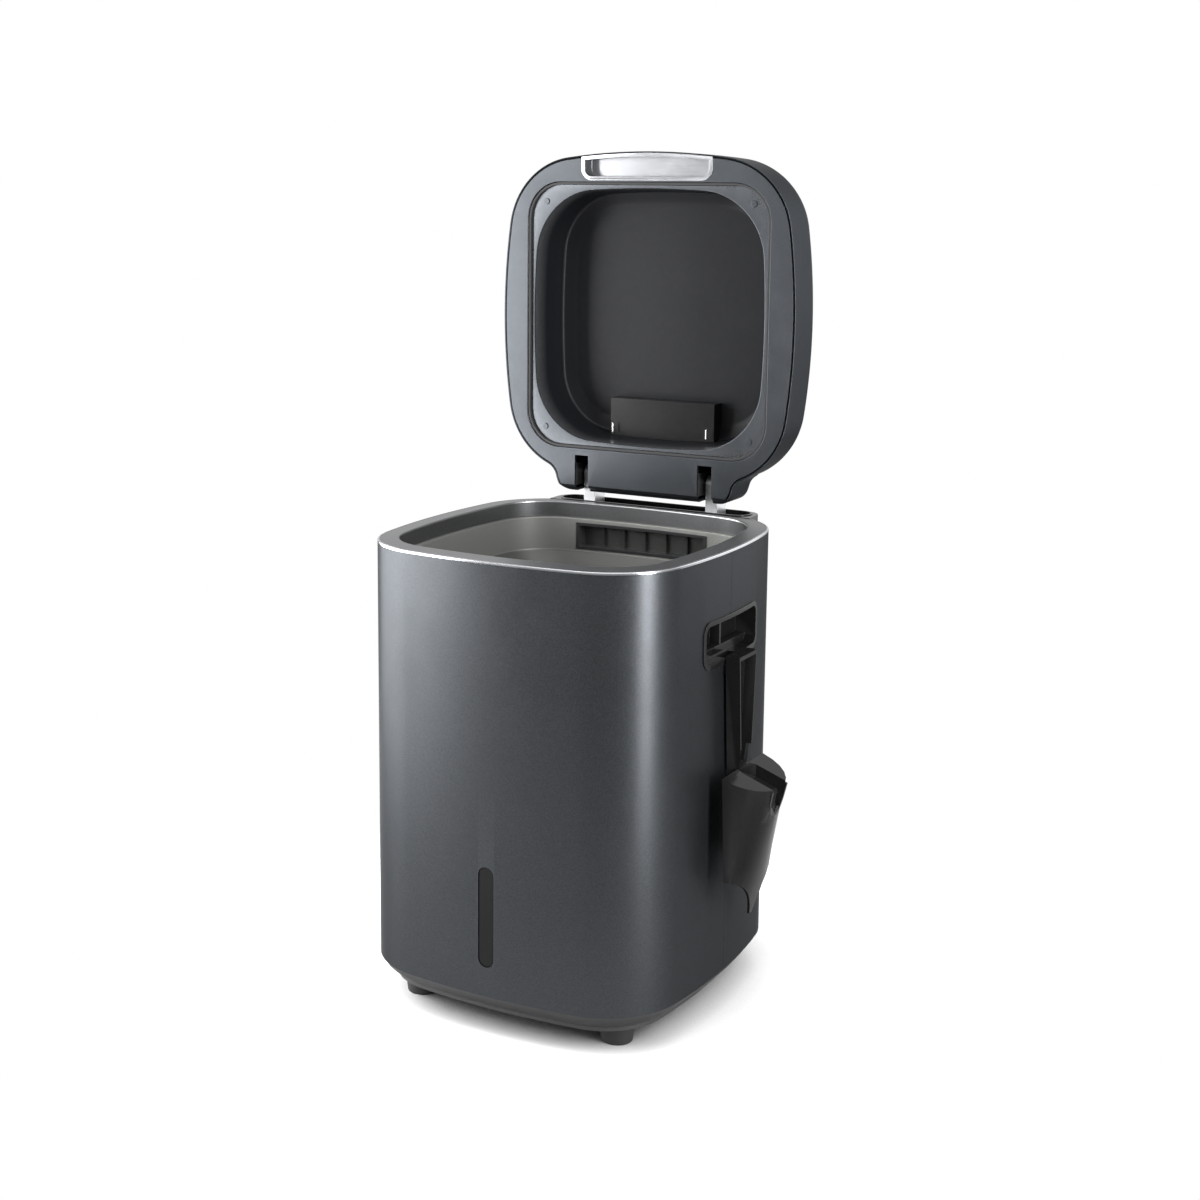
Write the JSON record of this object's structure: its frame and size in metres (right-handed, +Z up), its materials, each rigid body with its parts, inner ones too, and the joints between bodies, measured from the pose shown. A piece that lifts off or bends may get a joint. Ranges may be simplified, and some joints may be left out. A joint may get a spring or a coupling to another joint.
{
  "type": "electric food waste composter",
  "caption": "Upright electric food waste composter with a hinged domed lid, stirred tank, carrying recesses, rear filter drawer and a hanging scoop.",
  "frame": {"origin": "middle of the body's footprint, on the surface that the feet stand on", "axes": "+Z up, +Y towards the hinge and the back housing, +X towards the side that carries the scoop"},
  "size_m": [0.3495, 0.3473, 0.744],
  "materials": {
    "casing_paint": "satin metallic paint",
    "lid_paint": "satin metallic paint",
    "rim_grey": "satin",
    "liner_grey": "satin",
    "black_base": "fine texture",
    "black_gloss": "gloss",
    "black_satin": "satin",
    "scoop_black": "satin",
    "silver_trim": "brushed",
    "deck_silver": "satin metallic",
    "smoked_window": "gloss",
    "tank_metal": "satin coated",
    "mesh_grey": "woven mesh",
    "rubber_black": "matt",
    "steel": "machined",
    "cast_silver": "die cast",
    "bright_steel": "polished",
    "gear_nylon": "moulded",
    "board_green": "solder mask",
    "heater_orange": "silicone",
    "duct_black": "moulded",
    "carbon": "granular"
  },
  "bodies": {
    "body": {"base_tray": "black_base", "rubber_feet": "rubber_black", "foot_screws": "steel", "front_casing": "casing_paint", "rear_casing": "casing_paint", "back_housing": "casing_paint", "casing_screws": "steel", "trim_ring": "silver_trim", "top_deck": "deck_silver", "indicator_window": "smoked_window", "indicator_board": "board_green", "carry_recess_right": "black_gloss", "carry_recess_left": "black_gloss", "tank_collar": "tank_metal", "tank": "tank_metal", "tank_cradle": "steel", "heater_mat": "heater_orange", "shaft_bushes": "gear_nylon", "exhaust_frame": "black_satin", "exhaust_mesh": "mesh_grey", "exhaust_duct": "duct_black", "blower_housing": "duct_black", "blower_motor": "steel", "filter_sleeve": "duct_black", "gear_bracket": "steel", "gearbox": "steel", "drive_motor": "steel", "idler_pin": "steel", "control_board": "board_green", "power_inlet": "black_satin", "hinge_tray": "black_gloss", "hinge_arms": "cast_silver", "hinge_screws": "bright_steel"},
    "lid": {"lid_shell": "lid_paint", "lid_rim": "rim_grey", "lid_gasket": "rubber_black", "lid_liner": "liner_grey", "liner_screws": "steel", "lid_grip": "silver_trim", "odour_sensor": "black_satin", "sensor_pins": "bright_steel", "hinge_carrier": "duct_black", "hinge_pins": "steel", "hinge_dampers": "black_satin"},
    "stirrer": {"stirring_shaft": "steel", "stirring_arms": "steel", "driven_gear": "gear_nylon"},
    "idler": {"idler_gear": "gear_nylon"},
    "pinion": {"motor_pinion": "steel"},
    "blower": {"blower_wheel": "gear_nylon"},
    "drawer": {"filter_drawer": "duct_black", "carbon_pack": "carbon"},
    "rocker": {"power_rocker": "black_gloss"},
    "scoop": {"scoop": "scoop_black", "scoop_hook": "scoop_black"}
  },
  "joints": [
    {"name": "lid_hinge", "type": "hinge", "parent": "body", "child": "lid", "pos_m": [0, 0.152, 0.4386], "axis": [1, 0, 0], "range_deg": [0, 90]},
    {"name": "stirrer_spin", "type": "hinge", "parent": "body", "child": "stirrer", "pos_m": [0, 0, 0.19], "axis": [1, 0, 0], "continuous": true},
    {"name": "idler_spin", "type": "hinge", "parent": "body", "child": "idler", "pos_m": [0, -0.05067, 0.10964], "axis": [1, 0, 0], "continuous": true},
    {"name": "pinion_spin", "type": "hinge", "parent": "body", "child": "pinion", "pos_m": [0, -0.08, 0.06311], "axis": [1, 0, 0], "continuous": true},
    {"name": "blower_spin", "type": "hinge", "parent": "body", "child": "blower", "pos_m": [0, 0.14, 0.24], "axis": [0, 1, 0], "continuous": true},
    {"name": "drawer_slide", "type": "slide", "parent": "body", "child": "drawer", "axis": [0, 1, 0], "range_m": [0, 0.042]},
    {"name": "rocker_tilt", "type": "hinge", "parent": "body", "child": "rocker", "pos_m": [0.082, 0.168, 0.112], "axis": [1, 0, 0], "range_deg": [0, 18]},
    {"name": "scoop_lift", "type": "slide", "parent": "body", "child": "scoop", "axis": [0.5, 0, 0.866], "range_m": [0, 0.16]}
  ],
  "couplings": [
    {"joint": "idler_spin", "follows": "stirrer_spin", "ratio": -1.7143},
    {"joint": "pinion_spin", "follows": "stirrer_spin", "ratio": 3}
  ]
}
